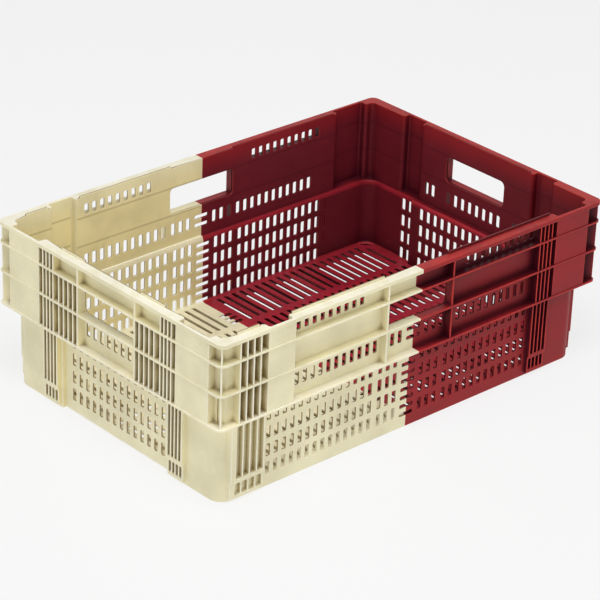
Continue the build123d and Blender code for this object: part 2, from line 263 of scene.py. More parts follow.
# %% Folds and ribs
HOLD = 50.0
CHEEK = 2.5
RIB = 2.0
NARROW_SLOTS = 4
WIDE_SLOTS = 5
CREAM_END_RIBS = 27.0
RED_SIDE_RIBS = 28.0
RED_END_RIB = 66.5
SIDE_POCKET = {half: reach(half + "_front_panel", 0) for half in ("cream", "red")}
END_POCKET = {half: reach(half + "_front_end_panel", 1) for half in ("cream", "red")}
END_LIMIT = max(END_POCKET["cream"]) + wall
CREAM_RIB_STOP = reach("cream_front_rib_block", 0)[1]


def folds_of(half):
    """Stretches of the long wall and of the end wall that stand out as panels."""
    return [(pocket[half][0] - wall, pocket[half][1] + wall) for pocket in (SIDE_POCKET, END_POCKET)]


def spread(start, stop, slots):
    """Ribs that part a stretch of wall into slots, with one at each end."""
    step = (stop - start - RIB) / slots
    return [(start + k * step, start + k * step + RIB) for k in range(slots + 1)]


def ribs_of(half):
    """Ribs on the long walls, full-height ribs on the end wall, and ribs there under the grip only."""
    cheek = [(HOLD, HOLD + CHEEK)]
    (side_low, side_high), (end_low, end_high) = folds_of(half)
    if half == "cream":
        beside = spread(side_high, CREAM_RIB_STOP, NARROW_SLOTS)[1:]
        narrow = spread(end_low - CREAM_END_RIBS, end_low, NARROW_SLOTS)[:-1]
        under_grip = spread(HOLD, end_low - CREAM_END_RIBS, WIDE_SLOTS)[1:-1]
        return cheek + beside, cheek + narrow, under_grip
    beside = spread(side_low - RED_SIDE_RIBS, side_low, NARROW_SLOTS)[:-1]
    broad = spread(end_high, END_LIMIT, WIDE_SLOTS)[1:]
    return cheek + beside, cheek + broad, spread(HOLD, RED_END_RIB, 2)[1:]


for half in ("cream", "red"):
    print(half, "ribs:", [len(ribs) for ribs in ribs_of(half)])

# %% [markdown]
# Thin lips stand on the rim beside the hand-holes, on the cream half also by the ribs, and on the red end
# right across. They could run all round, but in the photograph they stop short of the panels.

# %% Lips on the rim
LIP_GAP = 3.0
RIB_LIP_START = 8.0
RIB_LIP_STOP = 4.0


def lips_of(half):
    """Stretches of the long rim and of the end rim that carry a lip."""
    (side_low, _), (end_low, _) = folds_of(half)
    by_hold = (HOLD, side_low - LIP_GAP)
    if half == "cream":
        by_ribs = (SIDE_POCKET[half][1] + RIB_LIP_START, CREAM_RIB_STOP - RIB_LIP_STOP)
        return [by_hold, by_ribs], [(HOLD, end_low - CREAM_END_RIBS - LIP_GAP)]
    return [by_hold], [(0, end_low - LIP_GAP)]


for half in ("cream", "red"):
    print(half, "lips:", [len(lips) for lips in lips_of(half)])

# %% [markdown]
# A diagonal fin stiffens each corner of the upper wall, where crates are knocked. It is a thin prism at 45
# degrees, whose corners are worked out from the depths at which it starts and ends. A turned block would
# give the same form, but two depths are easier to read.

# %% Corner fins
FIN = (4.0, 14.5)


def fin(end, side):
    """Diagonal fin in one corner."""
    near, far = FIN
    half_rib = RIB / 2 / math.sqrt(2)
    depths = [
        (near + half_rib, near - half_rib),
        (far + half_rib, far - half_rib),
        (far - half_rib, far + half_rib),
        (near - half_rib, near + half_rib),
    ]
    outline = [(end * (half_length - a), side * (half_width - b)) for a, b in depths]
    return prism(outline, (waist_low - LAP, rim_top - LAP))


print("fins run from", FIN[0], "to", FIN[1], "mm behind the edge")

# %% [markdown]
# Four shelves round the upper wall stiffen it, from the shoulder to the rim, and stacking pads stand on the
# tub. The pads of one half fit the pockets of the other, so a crate that is turned round drops into the one
# below, and one that isn't turned rests on its rim. The levels of the shelves come from the frame. A pad is
# told by its wall, its stations and the stations between which it is slotted.

# %% Shelves and stacking pads
RIM = 5.0
PAD_STEP = 2.0
PAD_STEP_LEVEL = 26.0
PAD_FOOT = 4.0
PAD_SHORT_OF_INSIDE = 0.2
PADS = {
    "cream": [(on_side, (225.5, 274.0), (225.5, 268.5)), (on_end, (99.5, 126.0), (99.5, 126.0))],
    "red": [(on_side, (199.0, 227.0), (199.0, 227.0)), (on_end, (131.0, 174.0), (131.0, 167.0))],
}
SHELF = waist_low - shoulder_low
SHELVES = (
    (shoulder_low, waist_low),
    (sill_top - SHELF, sill_top),
    (grip_low, grip_low + SHELF),
    (rim_top - RIM, rim_top),
)
print("shelves end at", [round(high, 1) for _, high in SHELVES], "mm")

# %% [markdown]
# The massive form comes first: the tub, the recessed upper wall and the shelves, all with the crate's
# rounded plan. On it stand the folded panels, the ribs between them, a fin in each corner, the thin lips on
# the rim and the stacking pads. The walls could be raised one by one, but cutting the inside out of the
# whole afterwards gives every wall one inner face.

# %% Massive form
TUB_RADIUS = 18.0
SHELF_RADIUS = 9.0
WALL_RADIUS = 8.5
PANEL = 1.0
RIB_FACE = 1.0
LIP = 2.0


def massive(half, end):
    """One half of the crate before anything is cut from it."""
    skin = plan(tub_out, TUB_RADIUS, (0, waist_low - LAP))
    body = (waist_low - LAP, rim_top - LAP)
    under_grip = (waist_low - LAP, grip_low + LAP)
    forms = [plan(0, SHELF_RADIUS, level) for level in SHELVES]
    forms.append(plan(recess, WALL_RADIUS, body))
    side_fold, end_fold = folds_of(half)
    side_ribs, end_ribs, low_ribs = ribs_of(half)
    side_lips, end_lips = lips_of(half)
    folded = (PANEL, recess + LAP)
    ribbed = (RIB_FACE, recess + LAP)
    lipped = (recess_in - LIP, recess_in + LAP)
    lip = (rim_top - LAP, lip_top)
    pad_back = tub_in - PAD_SHORT_OF_INSIDE
    for side in (-1, 1):
        parts = [on_side(end, side, side_fold, folded, body)]
        parts += [on_side(end, side, pair, ribbed, body) for pair in side_ribs]
        parts += [on_side(end, side, pair, lipped, lip) for pair in side_lips]
        parts.append(on_end(end, side, end_fold, folded, body))
        parts += [on_end(end, side, pair, ribbed, body) for pair in end_ribs]
        parts += [on_end(end, side, pair, ribbed, under_grip) for pair in low_ribs]
        parts += [on_end(end, side, pair, lipped, lip) for pair in end_lips]
        for on_wall, stations, _ in PADS[half]:
            upper = (PAD_STEP_LEVEL, shoulder_low + LAP)
            lower = (PAD_FOOT, PAD_STEP_LEVEL + LAP)
            parts.append(on_wall(end, side, stations, (pad_out, pad_back), upper))
            parts.append(on_wall(end, side, stations, (pad_out + PAD_STEP, pad_back), lower))
        forms += each(parts)
        forms.append(fin(end, side))
    combine(skin, forms, "UNION")
    skin.name = half + "_moulding"
    return skin


cream = massive("cream", -1)
red = massive("red", 1)
HALVES = ((-1, "cream", cream), (1, "red", red))
print("massive forms:", len(cream.data.polygons), "and", len(red.data.polygons), "faces")

# %% [markdown]
# Now the inside is cut out: a wider room above the shoulder, a narrower one in the tub, and a flare
# between them that slopes the ledge on which a nested crate rests. At the foot, thin rooms are stacked
# so that the walls curve into the floor. A solidify modifier would give even walls too, but it can't make
# the inside plain where the outside is folded.

# %% Hollow the inside
ABOVE = 260.0
BELOW = -9.0
CLEAR = 40.0
FLARE = 2.4
FLARE_HEIGHT = 5.0
FOOT = 5.0
FOOT_STEPS = [math.radians(a) for a in (0, 30, 60, 90)]
FOOT_LAP = 0.01


def foot_rooms():
    """Rooms stacked at the foot of the tub, each drawn in further, so the walls curve into the floor."""
    rooms = []
    for upper, lower in zip(FOOT_STEPS, FOOT_STEPS[1:]):
        inset = FOOT * (1 - math.cos(upper))
        drawn = FOOT * (1 - math.cos(lower)) - inset
        low, high = (floor_top + FOOT * (1 - math.sin(a)) for a in (lower, upper))
        rooms.append(plan(tub_in + inset, TUB_RADIUS - wall, (low, high + FOOT_LAP), taper=drawn))
    return rooms


def hollow(skin, end):
    """Cuts the rooms of the crate, and the other half, away from a massive form."""
    other = sorted((0, -end * (half_length + CLEAR)))
    low = (other[0], -half_width - CLEAR, -CLEAR)
    high = (other[1], half_width + CLEAR, ABOVE + CLEAR)
    ledge = (waist_low - FLARE_HEIGHT, waist_low + LAP)
    away = [
        plan(recess_in, WALL_RADIUS - wall, (waist_low, ABOVE)),
        plan(tub_in, TUB_RADIUS - wall, (floor_top + FOOT, waist_low + LAP)),
        plan(tub_in - FLARE, TUB_RADIUS - wall + FLARE, ledge, taper=FLARE),
        plan(tub_in, TUB_RADIUS - wall, (BELOW, plate_low)),
        blocks([(low, high)]),
    ]
    combine(skin, away + foot_rooms(), "DIFFERENCE")


for end, half, skin in HALVES:
    hollow(skin, end)
    print(skin.name, "hollowed:", len(skin.data.polygons), "faces")

# %% [markdown]
# The middle of the tub's end wall is a field that is set further in than the rest. The wall is first filled
# there from inside and then cut from outside, because a cut alone would go right through it.

# %% Sunk field of the end walls
FIELD = 97.0
FIELD_RADIUS = 4.0
FIELD_CLEAR = 5.0


def sink_field(skin, end):
    """Sets the middle of the tub's end wall further in."""
    inner, outer = (-FIELD, FIELD), (-FIELD - wall, FIELD + wall)
    sunk = on_end(end, 1, outer, (recess + LAP, end_in), (0, waist_low))
    combine(skin, [blocks([sunk], through=1, radius=FIELD_RADIUS)], "UNION")
    outside = [
        on_end(end, 1, inner, (tub_out - FIELD_CLEAR, end_in - wall), (BELOW, shoulder_low)),
        on_end(end, 1, outer, (tub_out - FIELD_CLEAR, tub_out), (BELOW, shoulder_low)),
    ]
    combine(skin, each(outside), "DIFFERENCE")


for end, half, skin in HALVES:
    sink_field(skin, end)
    print(skin.name, "with its sunk field:", len(skin.data.polygons), "faces")

# %% [markdown]
# A thin floor that carries fruit needs ribs below it. Two pairs run the length of the crate, and cross ribs
# stand between the columns of slots. The photograph shows daylight through some slots and not through
# others, and the ribs are put where it is blocked. They could be left out, as few people look below a
# crate, but then every slot would show the table.

# %% Ribs under the floor
FLOOR_RIBS = (38.0, 105.0)
FLOOR_RIB = 2.5
CROSS_RIB = 2.0
CROSS_RIB_FOOT = 2.0
FLOOR_EDGE = 183.0
FLOOR_START = 20.0
FLOOR_PITCH = 12.4
FLOOR_COLUMNS = 21
MIDDLE_RIBS = 12
RIBBED = {"cream": range(-1, FLOOR_COLUMNS), "red": (-1, 1, 2, 5, 6, 10, 11, 12, 20)}


def floor_ribs(half, end):
    """Blocks for the ribs under the floor of one half."""
    near_x, far_x = sorted((0, end * (half_length - end_in + LAP)))
    top = plate_low + LAP
    ribs = []
    for station in FLOOR_RIBS:
        for y in (-station, station):
            low_y, high_y = span(y, FLOOR_RIB)
            ribs.append(((near_x, low_y, 0), (far_x, high_y, top)))
    for column in range(-1, FLOOR_COLUMNS):
        xs = span(end * (FLOOR_START + (column + 0.5) * FLOOR_PITCH), CROSS_RIB)
        stretches = [FLOOR_RIBS]
        if column in RIBBED[half]:
            stretches.append((FLOOR_RIBS[1], FLOOR_EDGE))
        if column < MIDDLE_RIBS:
            stretches.append((0, FLOOR_RIBS[0]))
        for near, far in stretches:
            for low_y, high_y in ((near, far), (-far, -near)):
                ribs.append(((xs[0], low_y, CROSS_RIB_FOOT), (xs[1], high_y, top)))
    return ribs


for end, half, skin in HALVES:
    ribs = floor_ribs(half, end)
    combine(skin, each(ribs), "UNION")
    print(skin.name, "with", len(ribs), "ribs under its floor:", len(skin.data.polygons), "faces")

# %% [markdown]
# Each stacking pad has four tall slots, then a bar, and below it four short slots with arched tops. They
# save plastic, and let the pad cool evenly. They are cut as deep as the tub's own wall, so the wall closes
# them at the back.

# %% Slots of the stacking pads
PAD_BAR = (24.0, 30.0)
PAD_BORDER = 4.0
ARCH_GAP = 1.0
TALL_RADIUS = 1.0
SHORT_RADIUS = 1.8


def pad_slots(half, end):
    """Cutters for the slots of one half's pads."""
    upper = (PAD_BAR[1], shoulder_low - PAD_BORDER)
    lower = (PAD_FOOT + PAD_BORDER, PAD_BAR[0] - ARCH_GAP)
    depths = (pad_out - LAP, tub_out)
    cutters = []
    for on_wall, _, slotted in PADS[half]:
        ribs = spread(*slotted, NARROW_SLOTS)
        gaps = [(left[1], right[0]) for left, right in zip(ribs, ribs[1:])]
        axis = 1 if on_wall is on_side else 0
        for level, radius in ((upper, TALL_RADIUS), (lower, SHORT_RADIUS)):
            cuts = [on_wall(end, side, gap, depths, level) for side in (-1, 1) for gap in gaps]
            cutters.append(blocks(cuts, through=axis, radius=radius))
    return cutters


for end, half, skin in HALVES:
    combine(skin, pad_slots(half, end), "DIFFERENCE")
    print(skin.name, "with its pads:", len(skin.data.polygons), "faces")

# %% [markdown]
# Behind each panel lies a pocket that is open to the inside. Its outline is drawn point by point, so that
# the folds beside it are rounded the way sheet would bend round a tool, and the prism is then cut out of
# the wall and out of the shelves.

# %% Pockets behind the panels
FOLD_RADIUS = 4.0
POCKET_RADIUS = 2.5
ARC = [math.radians(a) for a in (0, 22.5, 45, 67.5, 90)]


def pocket_outline(near, far):
    """Stations and depths round a pocket, from one fold to the other."""
    mouth, back = recess_in, PANEL + wall
    r, c = FOLD_RADIUS, POCKET_RADIUS
    left = [(near - r, mouth + LAP)]
    left += [(near - r + r * math.sin(a), mouth - r + r * math.cos(a)) for a in ARC]
    left += [(near + c - c * math.cos(a), back + c - c * math.sin(a)) for a in ARC]
    return left + [(near + far - s, d) for s, d in reversed(left)]


def pockets(half, end):
    """Cutters for the pockets of one half."""
    level = (waist_low, ABOVE)
    cutters = []
    for side in (-1, 1):
        along = pocket_outline(*SIDE_POCKET[half])
        cutters.append(prism([(end * s, side * (half_width - d)) for s, d in along], level))
        across = pocket_outline(*END_POCKET[half])
        cutters.append(prism([(end * (half_length - d), side * s) for s, d in across], level))
    return cutters


for end, half, skin in HALVES:
    combine(skin, pockets(half, end), "DIFFERENCE")
    print(skin.name, "with its pockets:", len(skin.data.polygons), "faces")

# %% [markdown]
# No moulded edge is razor sharp: a tool's corners are slightly worn, and the plastic shrinks as it cools.
# Flat neighbours are first dissolved into single faces, so that only real edges remain, and a bevel
# operator rounds them. This is done before the slots are cut, while the faces are still simple.

# %% Round the edges
EDGE_RADIUS = 0.35
EDGE_SEGMENTS = 2
SHARP = math.radians(40)
FLAT = math.radians(1)
MERGE = 0.02


def soften(skin):
    """Rounds the edges of a skin."""
    bm = bmesh.new()
    bm.from_mesh(skin.data)
    bmesh.ops.remove_doubles(bm, verts=bm.verts, dist=MERGE * MM)
    bmesh.ops.dissolve_limit(bm, angle_limit=FLAT, verts=bm.verts, edges=bm.edges)
    bmesh.ops.bevel(
        bm,
        geom=[e for e in bm.edges if e.is_manifold and e.calc_face_angle() > SHARP],
        offset=EDGE_RADIUS * MM,
        segments=EDGE_SEGMENTS,
        profile=0.5,
        affect="EDGES",
        material=-1,
        clamp_overlap=False,
    )
    bmesh.ops.triangulate(bm, faces=[f for f in bm.faces if len(f.verts) > 4])
    bm.to_mesh(skin.data)
    bm.free()


for skin in (cream, red):
    soften(skin)
    print(skin.name, "after rounding:", len(skin.data.polygons), "faces")

# %% [markdown]
# The slots let air through and wash water out. Their pattern follows the photograph: three columns beside
# the colour seam, then a field of columns out to the stacking pads, in four rows on the tub and one on the
# waist. The windows of the grip repeat nine of the columns, and the red half has a tenth against its ribs.
# Short cross slots bridge the seam, where the two shots of plastic lock. On the red half one more column of
# the tub shows inside only, because the pads close it from outside. An array modifier could repeat one
# slot, but lists of stations leave room for exceptions.

# %% Slot pattern
PITCH = 11.9
SLOT = 6.2
SEAM_START = 21.0
SEAM_COLUMNS = [SEAM_START + k * PITCH for k in range(3)]
FIELD_START = 60.0
FIELD_COUNT = {"cream": 14, "red": 12}
TOP_ROW = 92.3
ROW_PITCH = 23.0
ROWS = [TOP_ROW - k * ROW_PITCH for k in range(4)]
ROW_HEIGHT = 15.6
WAIST_ROW = 126.5
WAIST_HEIGHT = 16.0
WAIST_COLUMNS = 11
WINDOW_ROW = 193.8
WINDOW_HEIGHT = 13.0
FIRST_WINDOW = 2
RIB_WINDOW = {"cream": [], "red": [190.2]}
BLIND_DEPTH = 0.6
CROSS = 10.5
CROSS_HEIGHT = 5.0
CROSS_START = 17.2
CROSS_PITCH = 11.05
CROSS_COUNT = 8
WAIST_CROSS = 5.7
print("rows at", [round(row, 1) for row in ROWS], "columns by the seam at", SEAM_COLUMNS)

# %% [markdown]
# A cutter reaches past both faces of its wall, because one that ended on a face could leave a thin skin in
# the slot. The lowest row also has to pass the curve at the foot of the tub, so its cutters reach further.

# %% Slots of the long walls
def side_slots(end, half):
    """Cutters for both long walls of one half."""
    tub, waist = (tub_out - LAP, tub_in + LAP), (recess - LAP, recess_in + LAP)
    through_foot = (tub_out - LAP, tub_in + FOOT + LAP)
    field = [FIELD_START + k * PITCH for k in range(FIELD_COUNT[half])]
    cuts = []
    for side in (-1, 1):
        for station in SEAM_COLUMNS + field:
            column = span(station, SLOT)
            cuts += [on_side(end, side, column, tub, span(row, ROW_HEIGHT)) for row in ROWS[:-1]]
            cuts.append(on_side(end, side, column, through_foot, span(ROWS[-1], ROW_HEIGHT)))
        for station in SEAM_COLUMNS + field[:WAIST_COLUMNS]:
            cuts.append(on_side(end, side, span(station, SLOT), waist, span(WAIST_ROW, WAIST_HEIGHT)))
        for station in field[FIRST_WINDOW:WAIST_COLUMNS] + RIB_WINDOW[half]:
            cuts.append(on_side(end, side, span(station, SLOT), waist, span(WINDOW_ROW, WINDOW_HEIGHT)))
        for k in range(CROSS_COUNT):
            height = CROSS_START + k * CROSS_PITCH
            cuts.append(on_side(1, side, (-CROSS, CROSS), tub, span(height, CROSS_HEIGHT)))
        for height in (WAIST_ROW - WAIST_CROSS, WAIST_ROW + WAIST_CROSS):
            cuts.append(on_side(1, side, (-CROSS, CROSS), waist, span(height, CROSS_HEIGHT)))
    return cuts


def blind_slots(end):
    """Cutters for one more column inside the red long walls, which the stacking pads close from outside."""
    stations = span(FIELD_START + FIELD_COUNT["red"] * PITCH, SLOT)
    depths = (tub_in - BLIND_DEPTH, tub_in + LAP)
    cuts = []
    for row in ROWS[:-1]:
        cuts += [on_side(end, side, stations, depths, span(row, ROW_HEIGHT)) for side in (-1, 1)]
    return cuts


print("slots in the long walls:", [len(side_slots(end, half)) for end, half, _ in HALVES])

# %% [markdown]
# The end walls have the same rows. The red end has two columns more on the tub, beside its pads, and two
# more on the waist, where the cream end has ribs. Their stations are told from the middle of the end.

# %% Slots of the end walls
END_START = 6.2
END_PITCH = 12.4
END_COLUMNS = 7
END_WAIST_COLUMNS = 4
RED_END_COLUMNS = (105.5, 117.5)
RED_END_WAIST = (71.5, 82.5)


def end_slots(end, half):
    """Cutters for the end wall of one half."""
    tub, waist = (end_in - wall - LAP, end_in + LAP), (recess - LAP, recess_in + LAP)
    plain = (tub_out - LAP, tub_in + LAP)
    columns = [END_START + k * END_PITCH for k in range(END_COLUMNS)]
    cuts = []
    for turn in (-1, 1):
        for station in columns:
            cuts += [on_end(end, turn, span(station, SLOT), tub, span(row, ROW_HEIGHT)) for row in ROWS]
        for station in columns[:END_WAIST_COLUMNS]:
            cuts.append(on_end(end, turn, span(station, SLOT), waist, span(WAIST_ROW, WAIST_HEIGHT)))
        if half == "red":
            for station in RED_END_COLUMNS:
                cuts += [on_end(end, turn, span(station, SLOT), plain, span(row, ROW_HEIGHT)) for row in ROWS]
            for station in RED_END_WAIST:
                cuts.append(on_end(end, turn, span(station, SLOT), waist, span(WAIST_ROW, WAIST_HEIGHT)))
    return cuts


print("slots in the end walls:", [len(end_slots(end, half)) for end, half, _ in HALVES])

# %% [markdown]
# The floor has long slots across the crate in four rows, and short ones across the colour seam. The last
# long slots stop earlier, so that they keep clear of the rounded corners of the tub. The hand-holes have
# larger radii than the slots, because fingers pull on their edges.

# %% Floor slots and hand-holes
FLOOR_SLOT = 5.0
FLOOR_ROWS = ((5, 100), (110, 176.5))
LAST_FLOOR_SLOT = 166.0
FLOOR_CROSSINGS = (43, 53.5, 64, 115.5, 126, 136.5)
CROSSING = 9.0
CROSSING_WIDTH = 6.0


def floor_slots(end):
    """Cutters for the floor of one half, and for the short slots across its colour seam."""
    low, high = plate_low - LAP, floor_top + LAP
    cuts = []
    for k in range(FLOOR_COLUMNS):
        xs = span(end * (FLOOR_START + k * FLOOR_PITCH), FLOOR_SLOT)
        for side in (-1, 1):
            for near, far in FLOOR_ROWS:
                if k == FLOOR_COLUMNS - 1:
                    far = min(far, LAST_FLOOR_SLOT)
                ys = sorted((side * near, side * far))
                cuts.append(((xs[0], ys[0], low), (xs[1], ys[1], high)))
    for side in (-1, 1):
        for y in FLOOR_CROSSINGS:
            ys = span(side * y, CROSSING_WIDTH)
            cuts.append(((-CROSSING, ys[0], low), (CROSSING, ys[1], high)))
    return cuts


def hand_holes(end):
    """Cutters for the hand-holes of the long walls and of one end."""
    depths, level = (recess - LAP, recess_in + LAP), (sill_top, grip_low)
    long_ones = [on_side(1, side, (-HOLD, HOLD), depths, level) for side in (-1, 1)]
    return long_ones, [on_end(end, 1, (-HOLD, HOLD), depths, level)]


print("slots in each half of the floor:", len(floor_slots(1)))

# %% [markdown]
# All slots of one half are cut in one step. Every kind has its own cutter object, because the blocks of
# one object have to lie apart, and the slots of two walls can meet at a corner.

# %% Cut the slots
SLOT_RADIUS = 1.6
FLOOR_RADIUS = 2.0
SINK = 0.4
HOLD_RADIUS = 5.0
END_HOLD_RADIUS = 7.0
HOLD_SEGMENTS = 6
HOLD_SINK = 0.8

for end, half, skin in HALVES:
    long_holds, end_hold = hand_holes(end)
    cutters = [
        blocks(side_slots(end, half), through=1, radius=SLOT_RADIUS, sink=SINK),
        blocks(end_slots(end, half), through=0, radius=SLOT_RADIUS, sink=SINK),
        blocks(floor_slots(end), through=2, radius=FLOOR_RADIUS, sink=SINK),
        blocks(long_holds, through=1, radius=HOLD_RADIUS, segments=HOLD_SEGMENTS, sink=HOLD_SINK),
        blocks(end_hold, through=0, radius=END_HOLD_RADIUS, segments=HOLD_SEGMENTS, sink=HOLD_SINK),
    ]
    if half == "red":
        cutters.append(blocks(blind_slots(end), through=1, radius=SLOT_RADIUS))
    combine(skin, cutters, "DIFFERENCE")
    print(skin.name, "with its slots cut:", len(skin.data.polygons), "faces")

# %% [markdown]
# The rounded edges should shade as curves and the flat faces as flats. Creases over 50 degrees are marked
# sharp, the rest is smooth, and a weighted-normal modifier lets the large faces decide. The narrow faces that
# the slots leave in the thickness of a wall lie in shade, so they are marked in an attribute on which the
# finish later paints a dark shade.

# %% Shading and marks in the slots
CREASE = math.radians(50)
SLACK = 0.05
SIDEWAYS = 0.5
TUB_WALLS = ((1, half_width, (tub_out, tub_in)), (0, half_length, (end_in - wall, end_in)))


def in_wall(face, vertices):
    """Whether a face lies wholly in the thickness of a wall, as the sides of its slots do."""
    low = min(vertices[v].co.z for v in face.vertices) / MM
    upper = low > waist_low + LAP
    for axis, half_size, tub_band in TUB_WALLS:
        near, far = (recess, recess_in) if upper else tub_band
        depths = [half_size - abs(vertices[v].co[axis]) / MM for v in face.vertices]
        within = min(depths) > near - SLACK and max(depths) < far + SLACK
        if within and abs(face.normal[axis]) < SIDEWAYS:
            return low > floor_top - LAP
    return False


def shade(skin):
    """Smooth shading with sharp creases, and a mark on the sides of the slots, where the finish paints shade.
    """
    mesh = skin.data
    mesh.shade_smooth()
    mesh.set_sharp_from_angle(angle=CREASE)
    marks = [1.0 if in_wall(face, mesh.vertices) else 0.0 for face in mesh.polygons]
    mesh.attributes.new("slot_side", "FLOAT", "FACE").data.foreach_set("value", marks)
    skin.modifiers.new("even_shading", "WEIGHTED_NORMAL").keep_sharp = True
    return int(sum(marks))


for skin in (cream, red):
    print(skin.name, "slot sides:", shade(skin), "of", len(skin.data.polygons), "faces")

# %% [markdown]
# A finish made of nodes needs many small sums, so a few helpers add the nodes and connect them. Each takes
# the node tree first and gives back the socket that carries the result, so that the next helper can take
# it in, as in a formula. Nodes could be placed by hand in the shader editor with the same outcome.

# %% Helpers for node trees
LINE_CORE = 0.3


def add_node(tree, kind, ins=None, **props):
    """Adds a node with its properties, links the inputs that come from nodes and sets the others."""
    node = tree.nodes.new("ShaderNode" + kind)
    for name, value in props.items():
        setattr(node, name, value)
    for name, value in (ins or {}).items():
        if isinstance(value, bpy.types.NodeSocket):
            tree.links.new(value, node.inputs[name])
        else:
            node.inputs[name].default_value = value
    return node


def calculate(tree, operation, *values):
    """Result of a Math node."""
    return add_node(tree, "Math", dict(enumerate(values)), operation=operation).outputs[0]


def times(tree, a, b):
    """Product of two values."""
    return calculate(tree, "MULTIPLY", a, b)


def larger(tree, a, b):
    """The larger of two values."""
    return calculate(tree, "MAXIMUM", a, b)


def noise(tree, coordinates, scale, detail):
    """Noise value at a scale in cells per metre."""
    ins = {"Vector": coordinates, "Scale": scale, "Detail": detail}
    return add_node(tree, "TexNoise", ins).outputs["Fac"]


def ranged(tree, value, low, high, to_low=0.0, to_high=1.0):
    """Value carried from one range to another, with soft ends."""
    ins = {"Value": value, "From Min": low, "From Max": high, "To Min": to_low, "To Max": to_high}
    return add_node(tree, "MapRange", ins, interpolation_type="SMOOTHSTEP").outputs["Result"]


def level_line(tree, height, middle, to_side=2.0):
    """Soft line at one height, with its extent to each side in millimetres."""
    away = calculate(tree, "ABSOLUTE", calculate(tree, "SUBTRACT", height, middle * MM))
    return ranged(tree, away, LINE_CORE * to_side * MM, to_side * MM, 1.0, 0.0)


def height_step(tree, height, low, high, to_low=0.0, to_high=1.0):
    """Soft step between two heights in millimetres."""
    return ranged(tree, height, low * MM, high * MM, to_low, to_high)


def blend(tree, factor, first, second, kind="MIX"):
    """Mixes two colours, which go into inputs 6 and 7 of a Mix node."""
    ins = {0: factor, 6: first, 7: second}
    return add_node(tree, "Mix", ins, data_type="RGBA", blend_type=kind).outputs[2]


print("node helpers are ready")

# %% [markdown]
# Both halves are the same polypropylene with another pigment, and neither is one flat colour. One node
# group holds what they share, with the tones and amounts as inputs, and each material places it with its
# own values. Two whole materials could be built instead, but every change would then be made twice. The
# next cells add one layer of the finish after another to this group.

# %% Group for the moulded skin
SOCKETS = (
    ("INPUT", "Color", ("Pigment", "Painted Inner Shade", "Rubbed And Highlit", "Painted Top Light", "Painted Shade")),
    ("INPUT", "Float", ("Seat Wear And Highlight", "Shut", "Open", "Openness", "Bulk")),
    ("OUTPUT", "Color", ("Color",)),
    ("OUTPUT", "Float", ("Roughness", "Height")),
)

moulded = bpy.data.node_groups.new("moulded_skin", "ShaderNodeTree")
for direction, kind, names in SOCKETS:
    for name in names:
        moulded.interface.new_socket(name, in_out=direction, socket_type="NodeSocket" + kind)
given = moulded.nodes.new("NodeGroupInput").outputs
result = moulded.nodes.new("NodeGroupOutput").inputs
print(moulded.name, "has sockets for", [names for _, _, names in SOCKETS])

# %% [markdown]
# Fading and wear depend on where a point lies and where it faces. So the group first works out its height,
# whether it faces up, and whether it looks into the crate. These masks could be painted on the mesh, but
# masks from positions also fit a crate of another size.

# %% Where the skin lies and faces
INWARD = (-0.35, -0.05)
UPWARD = (0.5, 0.8)

where = add_node(moulded, "TexCoord").outputs["Object"]
height = add_node(moulded, "SeparateXYZ", {"Vector": where}).outputs["Z"]
normal = add_node(moulded, "NewGeometry").outputs["Normal"]
upward = ranged(moulded, add_node(moulded, "SeparateXYZ", {"Vector": normal}).outputs["Z"], *UPWARD)
outward = add_node(moulded, "VectorMath", {0: where, 1: (1, 1, 0)}, operation="MULTIPLY").outputs[0]
outward = add_node(moulded, "VectorMath", {0: outward}, operation="NORMALIZE").outputs[0]
facing = add_node(moulded, "VectorMath", {0: outward, 1: normal}, operation="DOT_PRODUCT").outputs["Value"]
inside = ranged(moulded, facing, *INWARD, 1.0, 0.0)
print("nodes with the masks:", len(moulded.nodes))

# %% [markdown]
# The inside of the walls gets a darker tone, a painted shade for the little light that falls into the crate,
# which eases off towards the rim. The up-facing floor gets a paler tone, painted top light, and the ledge a
# painted highlight. Faint sink lines show where the shelves draw the wall in as they cool, and they are
# painted as thin lines of shade. They could be modelled as grooves, but they are too shallow to catch the
# light.

# %% Painted inner shade, painted top light and sink lines
INNER_SHADE_DEPTH, INNER_SHADE_MARGIN, INNER_SHADE_REST = 28.0, 2.0, 0.4
TOP_LIGHT_LOW, TOP_LIGHT_HIGH = waist_low + 4, waist_low + 9
LEDGE_DROP, LEDGE_REACH, LEDGE_HIGHLIGHT = 2.0, 5.0, 0.85
SINK_LINE_SHADE = 0.35

# painted shade: the inside of the walls is darker lower down, less so near the rim
inner_shade = height_step(moulded, height, rim_top - INNER_SHADE_DEPTH, rim_top - INNER_SHADE_MARGIN, 1.0, INNER_SHADE_REST)
colour = blend(moulded, times(moulded, inside, inner_shade), given["Pigment"], given["Painted Inner Shade"])
# painted top light on the up-facing floor, and a painted highlight along the ledge
below = height_step(moulded, height, TOP_LIGHT_LOW, TOP_LIGHT_HIGH, 1.0, 0.0)
ledge = times(moulded, level_line(moulded, height, waist_low - LEDGE_DROP, LEDGE_REACH), inside)
painted_top_light = larger(moulded, times(moulded, upward, below), times(moulded, ledge, LEDGE_HIGHLIGHT))
colour = blend(moulded, painted_top_light, colour, given["Painted Top Light"])
# sink lines are painted as faint lines of shade inside the walls
for low, high in SHELVES[1:3]:
    sunk = times(moulded, level_line(moulded, height, (low + high) / 2), inside)
    colour = blend(moulded, times(moulded, sunk, SINK_LINE_SHADE), colour, given["Painted Shade"])
print("nodes with the fading:", len(moulded.nodes))

# %% [markdown]
# The melt leaves broad, faint flow clouds and the tool a fine grain, and handling leaves short scuffs along
# the walls. Each is a noise with a scale and a detail of its own. Noise on Object coordinates keeps the
# pattern at a true scale, where a texture image would need an unwrapped mesh.

